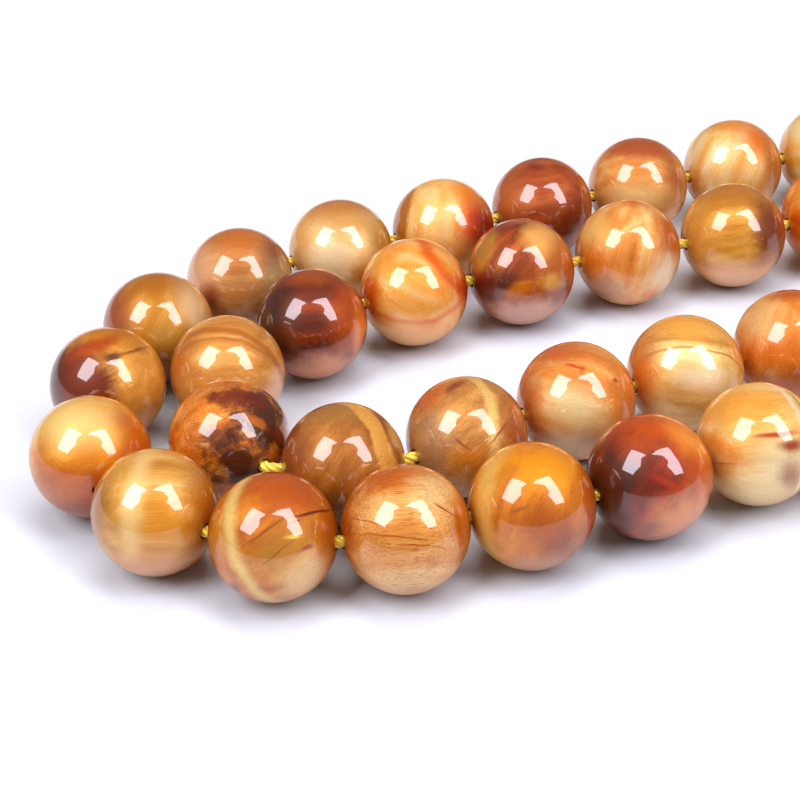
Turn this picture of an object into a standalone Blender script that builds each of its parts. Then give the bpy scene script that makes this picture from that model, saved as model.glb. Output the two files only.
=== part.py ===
# A strand of round polished tiger's eye beads on a golden silk cord. The cord runs through every
# bead and is tied into a loop with one knot. The loop is folded double and laid flat, as a hairpin
# that bends round at one end. Lengths are in millimetres, and +Z is up from the table.

import math

import bmesh
import bpy
import numpy as np
from mathutils import Matrix, Vector

MM = 0.001

# Driving sizes
BEAD_R = 5.0
BORE_R = 0.8
CORD_R = 0.5
KNOT_SEMI_AXES = (2.2, 1.5, 1.1)      # along the cord, across it, upwards
KNOT_TO_BEAD = 9.9
GAP = 0.3

# Facets
BEAD_STEPS = 14
BEAD_ARCS = 6
KNOT_SEGMENTS = 12
KNOT_RINGS = 8
CURVE_SAMPLES = 60
TAIL_POINTS = 6
RUN_PITCH = 1.4      # spacing of the cord's points where it runs free between two mouths
WELD = 0.00001       # vertices closer than this, in metres, become one

# How the bores find their directions
SETTLE_STEPS = 1500
SETTLE_SHARE = 0.02

# The route of the cord seen from above, from the knot round the whole loop
ROUTE = [
    (75.5, 33.5), (75.0, 24.0), (65.0, 19.5), (54.0, 19.5), (43.3, 18.1), (33.0, 15.0),
    (22.5, 12.4), (12.2, 9.5), (2.0, 6.5), (-7.5, 1.4), (-14.6, -6.0), (-14.0, -17.0),
    (-4.5, -21.2), (5.5, -18.0), (15.0, -13.2), (24.6, -9.6), (34.5, -6.0), (45.0, -3.0),
    (55.0, -1.5), (63.0, -8.0), (59.5, -18.0), (49.5, -21.5), (39.0, -20.5), (28.6, -20.8),
    (19.3, -24.8), (9.7, -28.0), (-0.2, -30.3), (-10.2, -30.5), (-19.5, -26.5), (-25.4, -18.0),
    (-25.0, -7.6), (-21.4, 2.0), (-14.5, 10.0), (-5.0, 15.1), (5.0, 18.7), (15.0, 22.5),
    (25.0, 26.2), (35.2, 29.5), (45.6, 32.2), (56.0, 35.0), (66.5, 37.5),
]

# Slack between neighbouring beads, run by run from the knot: how many gaps, and how wide each is
SLACK = [
    (6, 0.80),   # far end of the inner row
    (4, 0.62),   # round its bend
    (1, 0.27),
    (2, 0.55),
    (2, 0.38),
    (7, 0.50),   # turn at the near end
    (6, 0.08),   # near side of the outer row, pushed together
    (1, 0.95),
    (1, 0.15),
    (7, 0.72),   # rest of the outer row
    (2, 0.55),   # back to the knot
]

# Where the two cut ends of the cord lie, from the knot, and how high they end
TAILS = [(0.9, 5.0), (3.9, -1.0)]
TAIL_END_HEIGHT = 1.0
TAIL_LEVEL_SHARE = 0.8      # how far along its way out a cut end starts to droop

# The stone's tone of each bead, in order along the cord from the knot
TONES = (
    "amber honey russet russet caramel amber mahogany amber mahogany gold "
    "mahogany caramel caramel amber gold amber honey mahogany gold russet "
    "amber gold honey mahogany amber amber caramel honey amber mahogany "
    "honey caramel gold honey mahogany russet gold honey amber caramel"
).split()

TONE_COLOURS = {
    "honey": (0.72, 0.47, 0.18),
    "gold": (0.66, 0.36, 0.09),
    "amber": (0.60, 0.22, 0.05),
    "russet": (0.42, 0.12, 0.03),
    "caramel": (0.34, 0.15, 0.04),
    "mahogany": (0.17, 0.03, 0.01),
}
CORD_COLOUR = (0.72, 0.48, 0.03)
STONE_ROUGHNESS = 0.15
CORD_ROUGHNESS = 0.5


def unit(rows):
    """Each row scaled to length one."""
    return rows / np.linalg.norm(rows, axis=1, keepdims=True)


def smooth_loop(points, samples):
    """A closed curve through the points, each stretch a Catmull-Rom cubic of four neighbours."""
    here = np.array(points)
    before, after, beyond = np.roll(here, 1, 0), np.roll(here, -1, 0), np.roll(here, -2, 0)
    t = np.linspace(0.0, 1.0, samples, endpoint=False)[None, :, None]
    a, b, c, d = (p[:, None, :] for p in (before, here, after, beyond))
    curve = b + 0.5 * t * (c - a + t * (2 * a - 5 * b + 4 * c - d + t * (3 * (b - c) + d - a)))
    return curve.reshape(-1, 2)


def walk(curve, distances):
    """Points along the curve from its start, each at its straight distance from the last one."""
    place, index, found = curve[0], 0, []
    for distance in distances:
        while np.linalg.norm(curve[index + 1] - place) < distance:
            index += 1
        near, far = curve[index], curve[index + 1]
        low = np.linalg.norm(near - place)
        high = np.linalg.norm(far - place)
        place = near + (far - near) * (distance - low) / (high - low)
        found.append(place)
    return np.array(found)


def settle(chain, reach):
    """Directions of the bores: each piece turns until the cord pulls evenly on both its mouths."""
    axes = unit(np.roll(chain, -1, 0) - np.roll(chain, 1, 0))
    for _ in range(SETTLE_STEPS):
        mouths_in = chain - reach * axes
        mouths_out = chain + reach * axes
        ahead = unit(np.roll(mouths_in, -1, 0) - mouths_out)
        axes = unit(axes + SETTLE_SHARE * unit(ahead + np.roll(ahead, 1, 0)))
    return axes


def material(name, colour, roughness):
    """A Principled material with the stone's or the cord's own colour."""
    made = bpy.data.materials.new(name)
    made.use_nodes = True
    shader = made.node_tree.nodes["Principled BSDF"]
    shader.inputs["Base Color"].default_value = (*colour, 1.0)
    shader.inputs["Roughness"].default_value = roughness
    return made


def add_object(name, data, paint, parent, collection):
    """One named object of the strand, under the strand's empty."""
    made = bpy.data.objects.new(name, data)
    data.materials.append(paint)
    made.parent = parent
    collection.objects.link(made)
    return made


def bead_profile(name):
    """Half circle down the outside from rim to rim, closed by the wall of the bore."""
    rim = math.asin(BORE_R / BEAD_R)
    angles = np.linspace(rim, math.pi - rim, BEAD_ARCS + 1)
    points = [(BEAD_R * MM * math.sin(a), 0.0, BEAD_R * MM * math.cos(a)) for a in angles]
    edges = [(i, (i + 1) % len(points)) for i in range(len(points))]
    profile = bpy.data.meshes.new(name)
    profile.from_pydata(points, edges, [])
    return profile


def make_bead(name, centre, axis, paint, parent, collection):
    """A drilled ball: the profile turned about its bore, with a vertex straight down at the table."""
    bead = add_object(name, bead_profile(name), paint, parent, collection)
    turn = bead.modifiers.new("turned", "SCREW")
    turn.steps = turn.render_steps = BEAD_STEPS
    turn.angle = 2.0 * math.pi
    turn.screw_offset = 0.0
    turn.use_merge_vertices = True
    turn.merge_threshold = WELD
    turn.use_smooth_shade = True
    down = Vector((0.0, 0.0, -1.0))
    along = Vector((axis[0], axis[1], 0.0)).normalized()
    turned = Matrix((down, along.cross(down), along)).transposed().to_4x4()
    place = Vector((centre[0], centre[1], BEAD_R)) * MM
    bead.matrix_local = Matrix.Translation(place) @ turned
    return bead


def tube(name, points, radius):
    """A round tube with filled ends along straight runs between the points."""
    curve = bpy.data.curves.new(name, "CURVE")
    curve.dimensions = "3D"
    curve.bevel_depth = radius * MM
    curve.bevel_resolution = 2
    curve.use_fill_caps = True
    line = curve.splines.new("POLY")
    line.points.add(len(points) - 1)
    for point, (x, y, z) in zip(line.points, points):
        point.co = (x * MM, y * MM, z * MM, 1.0)
    return curve


def free_run(start, heading, end, arrival):
    """The cord between two mouths: a Hermite cubic in line with both bores, or one point if short."""
    run = np.linalg.norm(end - start)
    if run < CORD_R:
        return [(start + end) / 2]
    t = np.linspace(0.0, 1.0, 2 + int(run // RUN_PITCH))[:, None]
    ends = (1 + 2 * t) * (1 - t) ** 2 * start + t**2 * (3 - 2 * t) * end
    return ends + run * t * (1 - t) * ((1 - t) * heading - t * arrival)


def make_cord(chain, axes, reach, paint, parent, collection):
    """The cord from the knot, straight through every bore, and back to the knot."""
    mouths_in, mouths_out = chain - reach * axes, chain + reach * axes
    onward = np.roll(mouths_in, -1, 0), np.roll(axes, -1, 0)
    runs = [free_run(*ends) for ends in zip(mouths_out, axes, *onward)]
    points = [(x, y, BEAD_R) for x, y in np.vstack(runs)]
    return add_object("cord", tube("cord", points, CORD_R), paint, parent, collection)


def tail_path(knot, offset):
    """A cut end leaving the knot level, then drooping to the table along a quadratic curve."""
    start = np.array([knot[0], knot[1], BEAD_R])
    end = np.array([knot[0] + offset[0], knot[1] + offset[1], TAIL_END_HEIGHT])
    level = TAIL_LEVEL_SHARE * np.array(offset)
    bend = np.array([knot[0] + level[0], knot[1] + level[1], BEAD_R])
    t = np.linspace(0.0, 1.0, TAIL_POINTS)[:, None]
    return (1 - t) ** 2 * start + 2 * t * (1 - t) * bend + t**2 * end


def as_mesh_guide(name, curve, parent, collection):
    """A tube made a mesh with its caps welded, kept as a guide for the Boolean."""
    temporary = bpy.data.objects.new(name + "_curve", curve)
    collection.objects.link(temporary)
    graph = bpy.context.evaluated_depsgraph_get()
    mesh = bpy.data.meshes.new_from_object(temporary.evaluated_get(graph))
    bpy.data.objects.remove(temporary)
    shape = bmesh.new()
    shape.from_mesh(mesh)
    bmesh.ops.remove_doubles(shape, verts=shape.verts, dist=WELD)
    bmesh.ops.recalc_face_normals(shape, faces=shape.faces)
    shape.to_mesh(mesh)
    shape.free()
    guide = bpy.data.objects.new(name, mesh)
    guide.parent = parent
    guide.hide_render = True
    guide.display_type = "WIRE"
    collection.objects.link(guide)
    return guide


def make_knot(knot, axis, paint, parent, collection, guides):
    """The tied knot: a rounded lump, longest along the cord, with both cut ends joined on."""
    mesh = bpy.data.meshes.new("knot")
    shape = bmesh.new()
    stretch = Matrix.Diagonal((*KNOT_SEMI_AXES, 1.0))
    heading = Matrix.Rotation(math.atan2(axis[1], axis[0]), 4, "Z")
    place = Matrix.Translation(Vector((knot[0], knot[1], BEAD_R)) * MM) @ heading @ stretch
    bmesh.ops.create_uvsphere(
        shape, u_segments=KNOT_SEGMENTS, v_segments=KNOT_RINGS, radius=MM, matrix=place
    )
    shape.to_mesh(mesh)
    shape.free()
    lump = add_object("knot", mesh, paint, parent, collection)
    for number, offset in enumerate(TAILS, start=1):
        curve = tube(f"tail_{number}", tail_path(knot, offset), CORD_R)
        guide = as_mesh_guide(f"tail_{number}", curve, parent, guides)
        join = lump.modifiers.new(f"tail_{number}", "BOOLEAN")
        join.operation = "UNION"
        join.solver = "EXACT"
        join.object = guide
    return lump


def centre_on_origin(root, objects):
    """Move the strand so that the middle of its outline stands over the origin."""
    bpy.context.view_layer.update()
    graph = bpy.context.evaluated_depsgraph_get()
    found = []
    for made in objects:
        shaped = made.evaluated_get(graph)
        found += [made.matrix_world @ vertex.co for vertex in shaped.to_mesh().vertices]
        shaped.to_mesh_clear()
    middle = (np.min(found, axis=0) + np.max(found, axis=0)) / 2
    root.location = (-middle[0], -middle[1], 0.0)
    bpy.context.view_layer.update()


def main():
    for old in list(bpy.data.objects):
        bpy.data.objects.remove(old)
    strand = bpy.data.collections.new("tigers_eye_bead_strand")
    guides = bpy.data.collections.new("guides")
    bpy.context.scene.collection.children.link(strand)
    bpy.context.scene.collection.children.link(guides)
    root = bpy.data.objects.new("strand_origin", None)
    strand.objects.link(root)

    gaps = [slack for count, slack in SLACK for _ in range(count)]
    curve = smooth_loop(ROUTE, CURVE_SAMPLES)
    centres = walk(curve, [KNOT_TO_BEAD] + [2.0 * BEAD_R + gap for gap in gaps])
    chain = np.vstack([curve[:1], centres])
    mouth = math.sqrt(BEAD_R**2 - BORE_R**2)
    reach = np.full((len(chain), 1), mouth)
    reach[0] = KNOT_SEMI_AXES[0] + GAP
    axes = settle(chain, reach)

    stone = {}
    for tone, colour in TONE_COLOURS.items():
        stone[tone] = material(tone + "_stone", colour, STONE_ROUGHNESS)
    silk = material("cord_silk", CORD_COLOUR, CORD_ROUGHNESS)
    made = []
    for number, (centre, axis, tone) in enumerate(zip(centres, axes[1:], TONES), start=1):
        name = f"bead_{number:02d}"
        made.append(make_bead(name, centre, axis, stone[tone], root, strand))
    made.append(make_cord(chain, axes, reach, silk, root, strand))
    made.append(make_knot(curve[0], axes[0], silk, root, strand, guides))
    centre_on_origin(root, made)


main()
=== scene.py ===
# %% [markdown]
# # A strand of round tiger's eye beads
# Forty polished stone beads, 10 mm across, sit on a golden cord that is knotted into a loop and
# laid down double. The measured solids are loaded first and stay fixed. Each bead and the cord
# then get a finer surface and the finish of the real thing, in the same place.

import math

import bpy
import numpy as np
from mathutils import Matrix, Vector


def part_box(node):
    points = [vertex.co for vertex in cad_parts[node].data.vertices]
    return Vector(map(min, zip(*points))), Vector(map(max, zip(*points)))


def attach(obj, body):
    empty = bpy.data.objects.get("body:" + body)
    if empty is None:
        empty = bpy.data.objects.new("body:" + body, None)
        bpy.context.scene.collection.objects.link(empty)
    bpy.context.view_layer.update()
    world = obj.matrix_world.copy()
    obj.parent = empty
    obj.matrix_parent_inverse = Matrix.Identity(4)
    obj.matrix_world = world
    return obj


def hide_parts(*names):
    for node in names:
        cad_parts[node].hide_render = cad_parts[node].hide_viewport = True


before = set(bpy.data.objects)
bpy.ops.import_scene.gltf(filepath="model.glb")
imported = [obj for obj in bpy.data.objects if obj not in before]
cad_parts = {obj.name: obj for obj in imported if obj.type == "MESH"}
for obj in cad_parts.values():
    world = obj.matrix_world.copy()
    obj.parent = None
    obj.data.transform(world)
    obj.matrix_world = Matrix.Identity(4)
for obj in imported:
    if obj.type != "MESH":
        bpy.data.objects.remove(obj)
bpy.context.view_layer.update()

# %% [markdown]
# ## Sizes
# Everything hangs on a few sizes: the bead and its drilled hole, the cord that fills most of
# that hole, and the knot. They are given in millimetres and turned to metres once, here.

# %% Sizes
MM = 0.001
BEAD_COUNT = 40
BEAD_R = 5.0 * MM
BORE_R = 0.62 * MM           # the cord nearly fills the hole
RIM_R = 0.08 * MM            # the tumbled edge where the hole meets the ball
CORD_R = 0.5 * MM
KNOT_FROM_BEAD = (0.81, 9.87)      # from bead 1 to the knot, in millimetres
KNOT_REACH = 2.5 * MM        # from the middle of the knot to where the cord comes out
bead_names = [f"bead_{number:02d}" for number in range(1, BEAD_COUNT + 1)]

# %% [markdown]
# ## Where the beads are and which way their holes point
# A bead turns on its cord until the cord pulls evenly on both its mouths. The places of the
# beads are read from the measured solids, and the directions are found by letting every bead
# give way a little, many times over, for all beads at once.

# %% Places and directions
SETTLE_STEPS = 1500
SETTLE_SHARE = 0.02


def unit(rows):
    """Each row divided by its own length."""
    return rows / np.linalg.norm(rows, axis=-1, keepdims=True)


def settle(chain, reach):
    """Direction of each hole: it gives way towards the mean of the cord's pulls at its mouths."""
    axes = unit(np.roll(chain, -1, 0) - np.roll(chain, 1, 0))
    for _ in range(SETTLE_STEPS):
        ahead = unit(np.roll(chain - reach * axes, -1, 0) - (chain + reach * axes))
        axes = unit(axes + SETTLE_SHARE * unit(ahead + np.roll(ahead, 1, 0)))
    return axes


centres = np.array([(Vector(a) + Vector(b)) / 2 for a, b in map(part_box, bead_names)])
knot_centre = centres[0] + np.array([*KNOT_FROM_BEAD, 0.0]) * MM
chain = np.vstack([knot_centre, centres])
reach = np.full((len(chain), 1), math.sqrt(BEAD_R**2 - BORE_R**2))
reach[0] = KNOT_REACH
directions = settle(chain, reach)
print("beads:", len(centres), "at", round(float(centres[0, 2]) / MM, 2), "mm above the table")

# %% [markdown]
# ## One helper for all surfaces
# Every new piece is a grid of points, worked out by numpy as rows along one direction and
# columns round the other. Wrapping the columns closes the tube, and the two ends are left for
# the shape itself to close.

# %% From a grid of points to a mesh


def grid_faces(rows, columns, first=0):
    """Four-sided faces of a grid whose columns wrap round, as numbers of its points."""
    row, column = np.mgrid[0 : rows - 1, 0:columns]
    after = (column + 1) % columns
    corners = [row * columns + column, row * columns + after]
    corners += [(row + 1) * columns + after, (row + 1) * columns + column]
    return first + np.stack(corners, axis=-1).reshape(-1, 4)


def make_piece(name, points, faces, ends=()):
    """A smooth mesh object at the origin, its place in its points."""
    mesh = bpy.data.meshes.new(name)
    mesh.from_pydata(points.reshape(-1, 3).tolist(), [], faces.tolist() + list(ends))
    mesh.shade_smooth()
    piece = bpy.data.objects.new(name, mesh)
    bpy.context.scene.collection.objects.link(piece)
    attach(piece, "root")
    return piece


# %% [markdown]
# ## The beads
# A bead is ground to a ball, drilled through and tumbled, which rounds the edge of the hole a
# little. So its outline is half a circle, a small round edge, and the straight wall of the hole,
# turned about the hole. The profile closes on itself, so the surface is a ring with no poles.

# %% The beads
AROUND = 112
BALL_STEPS = 60
RIM_STEPS = 5
BORE_STEPS = 8


def bead_profile():
    """Distance from the hole's axis, and place along it, once round the closed outline.

    The ball is a circle from edge to edge. Each round edge is a small circle whose centre lies
    one edge radius outside the wall of the hole and one edge radius inside the ball.
    """
    edge_r = BORE_R + RIM_R
    edge_h = math.sqrt((BEAD_R - RIM_R) ** 2 - edge_r**2)
    touch = math.atan2(edge_r, edge_h)
    ball = np.linspace(touch, math.pi - touch, BALL_STEPS)
    turn = np.linspace(touch, -math.pi / 2, RIM_STEPS + 2)[1:]
    rim_r = edge_r + RIM_R * np.sin(turn)
    rim_h = edge_h + RIM_R * np.cos(turn)
    wall = np.linspace(-edge_h, edge_h, BORE_STEPS + 2)[1:-1]
    radii = [BEAD_R * np.sin(ball), rim_r, np.full(BORE_STEPS, BORE_R), rim_r[::-1]]
    heights = [BEAD_R * np.cos(ball), -rim_h, wall, rim_h[::-1]]
    return np.concatenate(radii), np.concatenate(heights)


def bead_surface(centre, axis):
    """The profile turned about the hole: centre + axis * h + r * (cos t * side + sin t * up)."""
    radius, height = bead_profile()
    angle = np.linspace(0.0, 2.0 * math.pi, AROUND, endpoint=False)
    up = np.array([0.0, 0.0, 1.0])
    side = np.cross(up, axis)
    spokes = np.cos(angle)[:, None] * side + np.sin(angle)[:, None] * up
    return centre + height[:, None, None] * axis + radius[:, None, None] * spokes


beads = {}
for name, centre, axis in zip(bead_names, centres, directions[1:]):
    surface = bead_surface(centre, axis)
    closed = np.concatenate([surface, surface[:1]])
    faces = grid_faces(len(closed), AROUND) % (len(surface) * AROUND)
    beads[name] = make_piece(name + "_stone", surface, faces)
    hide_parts(name)
print("faces of one bead:", len(faces))

# %% [markdown]
# ## The cord's path
# The cord is one piece: a cut end, half of the knot, the whole round through forty beads, the
# other half of the knot, and the other cut end. Inside a bead it is straight. Between two beads
# it leaves each mouth in line with the hole. The knot is a reef knot: two bights laid through
# each other, so the second half is the first half turned over.

# %% The cord's path
RUN_SAMPLES = 14
BORE_SAMPLES = 24
KNOT_SAMPLES = 12
STEP = 0.25 * MM
SOFTEN_STEPS = 7
weights = np.hanning(SOFTEN_STEPS + 2)[1:-1]
SOFTEN = weights / weights.sum()

# Half of the knot, in millimetres: x along the strand, y outwards from the loop, z up
KNOT_HALF = [
    (-2.5, 0.0, 0.0), (-2.0, -0.25, 0.2), (-1.3, -0.45, 0.42), (-0.6, -0.62, 0.0),
    (0.0, -0.8, -0.42), (0.6, -0.92, 0.0), (1.25, -0.9, 0.4), (1.9, 0.0, 0.45),
    (1.25, 0.9, 0.4), (0.6, 0.92, 0.0), (0.0, 0.8, -0.42), (-0.6, 0.62, 0.0),
    (-1.3, 0.5, 0.42), (-2.1, 0.9, 0.1),
]
TURN_OVER = np.array([-1.0, 1.0, -1.0])
CUT_ENDS = [(-3.7, 3.48), (2.96, 2.73)]        # where the two cut ends lie, x and y
DROOP = [(0.35, -0.45), (0.7, -1.5), (0.93, -2.9), (1.0, -4.0)]   # share of the way out, height


def smooth_line(points, samples):
    """An open curve through the points: each stretch is a Catmull-Rom cubic of four neighbours."""
    full = np.vstack([2 * points[0] - points[1], points, 2 * points[-1] - points[-2]])
    a, b, c, d = (full[i : len(full) - 3 + i, None] for i in range(4))
    t = np.linspace(0.0, 1.0, samples, endpoint=False)[None, :, None]
    line = b + 0.5 * t * (c - a + t * (2 * a - 5 * b + 4 * c - d + t * (3 * (b - c) + d - a)))
    return np.vstack([line.reshape(-1, 3), points[-1:]])


def half_knot(side, cut_end):
    """One half of the knot with its cut end, from the cord's mouth to the tip, as a curve."""
    body = np.array(KNOT_HALF) * (TURN_OVER if side > 0 else 1.0)
    share, height = np.array(DROOP).T
    out = body[-1, :2] + share[:, None] * (np.array(cut_end) - body[-1, :2])
    local = smooth_line(np.vstack([body, np.column_stack([out, height])]), KNOT_SAMPLES) * MM
    along = directions[0]
    outward = np.cross([0.0, 0.0, 1.0], along)
    return knot_centre + local @ np.array([along, outward, [0.0, 0.0, 1.0]])


def loop_path():
    """The cord from the knot round to the knot: Hermite cubics between mouths, straight bores."""
    mouths_in, mouths_out = chain - reach * directions, chain + reach * directions
    start, end = mouths_out[:, None], np.roll(mouths_in, -1, 0)[:, None]
    heading, arrival = directions[:, None], np.roll(directions, -1, 0)[:, None]
    length = np.linalg.norm(end - start, axis=-1, keepdims=True)
    t = np.linspace(0.0, 1.0, RUN_SAMPLES, endpoint=False)[None, :, None]
    runs = (1 + 2 * t) * (1 - t) ** 2 * start + t**2 * (3 - 2 * t) * end
    runs = runs + length * t * (1 - t) * ((1 - t) * heading - t * arrival)
    s = np.linspace(0.0, 1.0, BORE_SAMPLES, endpoint=False)[None, :, None]
    bores = (1 - s) * mouths_in[1:, None] + s * mouths_out[1:, None]
    return np.vstack([np.hstack([runs[:-1], bores]).reshape(-1, 3), runs[-1]])


def path_length(path):
    """Sum of the distances from each point to the next."""
    return np.linalg.norm(np.diff(path, axis=0), axis=1).sum()


def even_steps(path):
    """The same path at equal steps, softened a little as a stiff cord would be."""
    along = np.concatenate([[0.0], np.linalg.norm(np.diff(path, axis=0), axis=1).cumsum()])
    steps = np.arange(0.0, along[-1], STEP)
    even = np.column_stack([np.interp(steps, along, path[:, i]) for i in range(3)])
    padded = np.pad(even, ((len(SOFTEN) // 2,) * 2, (0, 0)), mode="edge")
    return np.column_stack([np.convolve(padded[:, i], SOFTEN, "valid") for i in range(3)])


near_half, far_half = half_knot(1, CUT_ENDS[1])[::-1], half_knot(-1, CUT_ENDS[0])
cord_path = even_steps(np.vstack([near_half, loop_path(), far_half]))
print("cord length:", round(len(cord_path) * STEP / MM), "mm")

# %% [markdown]
# ## The cord's plies
# The photo shows a shiny golden cord laid up from a few thick strands. So four round plies are
# wound about the path like a rope. Each ply carries a UV map, across and along, on which its
# fine silk threads are drawn later.

# %% The cord's plies
PLIES = 4
PLY_R = 0.22 * MM
LAY_R = CORD_R - PLY_R
LAY_LENGTH = 3.2 * MM
PLY_SIDES = 8


def cord_plies(path):
    """Points of all plies: path + LAY_R * (cos f * side + sin f * up) + PLY_R * the same at g.

    The winding angle f grows evenly along the path, a full turn in one lay length, and the
    angle g goes round the ply. Side stays level, and up is square to it and to the path.
    """
    ahead = unit(np.gradient(path, axis=0))
    side = unit(np.column_stack([-ahead[:, 1], ahead[:, 0], np.zeros(len(path))]))
    up = np.cross(ahead, side)
    along = np.arange(len(path)) * STEP
    wind = 2 * np.pi * (along / LAY_LENGTH + np.arange(PLIES)[:, None] / PLIES)[..., None]
    core = path + LAY_R * (np.cos(wind) * side + np.sin(wind) * up)
    forward = unit(np.gradient(core, axis=1))
    out = unit(core - path)
    across = np.cross(forward, out)
    g = np.linspace(0.0, 2 * np.pi, PLY_SIDES, endpoint=False)[:, None]
    return core[:, :, None] + PLY_R * (
        np.cos(g) * out[:, :, None] + np.sin(g) * across[:, :, None]
    )


def plied_piece(name, stretches):
    """A mesh of the plies along some stretches of the path, with caps and the threads' UV map."""
    points, faces, ends, uvs, count = [], [], [], [], 0
    for first, last in stretches:
        stretch = plies[:, first:last]
        rows = stretch.shape[1]
        column = np.arange(PLY_SIDES)
        low = np.array([column, column + 1, column + 1, column]).T / PLY_SIDES
        row = (first + np.arange(rows - 1))[:, None, None] + np.array([0, 0, 1, 1])
        uv = np.stack(np.broadcast_arrays(low[None], row * STEP / LAY_LENGTH), axis=-1)
        for ply in stretch:
            points.append(ply.reshape(-1, 3))
            faces.append(grid_faces(rows, PLY_SIDES, count))
            uvs.append(uv.reshape(-1, 2))
            final = count + (rows - 1) * PLY_SIDES
            ends += [list(range(count, count + PLY_SIDES))[::-1]]
            ends += [list(range(final, final + PLY_SIDES))]
            count += rows * PLY_SIDES
    piece = make_piece(name, np.vstack(points), np.vstack(faces), ends)
    flat = np.zeros((len(piece.data.loops), 2))
    drawn = np.vstack(uvs)
    flat[: len(drawn)] = drawn
    piece.data.uv_layers.new(name="threads").data.foreach_set("uv", flat.ravel())
    return piece


plies = cord_plies(cord_path)
loop_first = int(path_length(near_half) / STEP)
loop_last = len(cord_path) - int(path_length(far_half) / STEP)
cord = plied_piece("golden_cord", [(loop_first, loop_last)])
knot = plied_piece("reef_knot", [(0, loop_first + 1), (loop_last - 1, len(cord_path))])
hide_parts("cord")
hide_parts("knot")
print("faces of the cord:", len(cord.data.polygons), "and of the knot:", len(knot.data.polygons))

# %% [markdown]
# ## The camera
# It stands where the photographer's did: worked out from the outlines of the beads, it looks
# down at about 33 degrees from 14 cm away, with a lens of 84 mm on a 36 mm sensor. Its place is
# given from bead 26, the nearest one. The marks on each bead are placed as they are seen from
# there, so the camera comes before the stone.

# %% The camera
LENS = 84.2
SENSOR = 36.0
CLIP_START = 10.0 * MM
LOOK_DOWN = math.radians(32.68)
ROLL = math.radians(-2.39)
FROM_BEAD_26 = np.array([0.0, -114.7, 85.3]) * MM

nearest_bead = centres[25]
camera_place = nearest_bead + FROM_BEAD_26
camera_turn = Matrix.Rotation(math.pi / 2 - LOOK_DOWN, 3, "X") @ Matrix.Rotation(ROLL, 3, "Z")
camera_data = bpy.data.cameras.new("photo_camera")
camera_data.lens = LENS
camera_data.sensor_width = SENSOR
camera_data.clip_start = CLIP_START
camera = bpy.data.objects.new("photo_camera", camera_data)
camera.location = camera_place
camera.rotation_euler = camera_turn.to_euler()
bpy.context.scene.collection.objects.link(camera)
bpy.context.scene.camera = camera
print("camera at", [round(float(v) / MM) for v in camera_place], "mm")

# %% [markdown]
# ## Nodes and colours
# A material is a tree of nodes. One helper adds a node, sets it up, and links what feeds it, so
# a tree reads from top to bottom like a recipe. Colours are written as hex values, as a screen
# shows them, and one function turns them into the linear light values that nodes work with.

# %% Nodes and colours


def linear(shade):
    """The linear colour, with full alpha, of a hex colour as seen on a screen.

    The screen's curve is a straight line for the darkest values and a power of 2.4 above them.
    """
    seen = np.array([int(shade[i : i + 2], 16) for i in (1, 3, 5)]) / 255.0
    light = np.where(seen <= 0.04045, seen / 12.92, ((seen + 0.055) / 1.055) ** 2.4)
    return (*light.tolist(), 1.0)


def add(tree, kind, inputs=(), **settings):
    """A new node: settings are its properties, inputs are values or the sockets that feed it."""
    node = tree.nodes.new(kind)
    for name, value in settings.items():
        setattr(node, name, value)
    for key, value in dict(inputs).items():
        if isinstance(value, bpy.types.NodeSocket):
            tree.links.new(value, node.inputs[key])
        else:
            node.inputs[key].default_value = value
    return node


def new_material(name, finish):
    """A material whose shader has the given fixed values, with its tree and its shader."""
    material = bpy.data.materials.new(name)
    material.use_nodes = True
    shader = material.node_tree.nodes["Principled BSDF"]
    for socket, value in finish.items():
        shader.inputs[socket].default_value = value
    return material, material.node_tree, shader


def scaled(tree, value, factor, offset=0.0):
    """The socket of value * factor + offset, each of them a number or a socket."""
    inputs = {0: value, 1: factor, 2: offset}
    return add(tree, "ShaderNodeMath", inputs, operation="MULTIPLY_ADD").outputs[0]


def mixed(tree, share, colour, shade):
    """The socket of a colour with a share of another shade laid over it."""
    inputs = {0: share, 6: colour, 7: linear(shade)}
    return add(tree, "ShaderNodeMix", inputs, data_type="RGBA").outputs[2]


def shade_ramp(tree, level, stops, shades):
    """The socket of a colour that runs through the shades, each one reached at its own level."""
    node = add(tree, "ShaderNodeValToRGB", {0: level})
    for stop in stops[1:-1]:
        node.color_ramp.elements.new(stop)
    for element, stop, shade in zip(node.color_ramp.elements, stops, shades):
        element.position = stop
        element.color = linear(shade)
    return node.outputs[0]


# %% [markdown]
# ## The stone of each bead
# Tiger's eye is quartz full of fine parallel fibres, in flat layers of honey, brown and red.
# Polished round, a layer shows as a curved band, and light glides along the fibres as a soft
# bright stripe. No two beads are alike, so each has its own short list: three shades along its
# fibres, the direction of the fibres, and then bands and patches as they show from the camera.
# Most bands and patches are the stone's own colour. The bright stripe of light is painted in as
# well, as pale bands and near-white patches: painted sheen. Pale patches low on many beads are
# a painted reflection of the white table.
# On every bead x runs to the right and y upwards, from -1 to 1 across its outline.

# %% Bands and patches
PATCH_DEEP = 0.9        # how deep a patch goes, as a share of the bead's radius
BAND_ACROSS = 9.0       # a band goes on far past the bead


def facing(x, y):
    """The point of a ball of radius one that shows at x, y: its depth is what x and y leave."""
    return np.array([x, y, math.sqrt(max(0.0, 1.0 - x * x - y * y))])


def patch(shade, x, y, wide, high, turn=0.0, soft=0.6, share=0.85):
    """A rounded patch: an ellipsoid about the point of the surface at x, y. Most patches are the
    stone's own colour. Some pale ones are painted light: painted sheen in the middle of a bead, and
    a painted reflection of the white table low on it or at its side.
    """
    lean = (0.0, 0.0, math.radians(turn))
    return shade, facing(x, y), lean, (wide, high, PATCH_DEEP), soft, share


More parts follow.
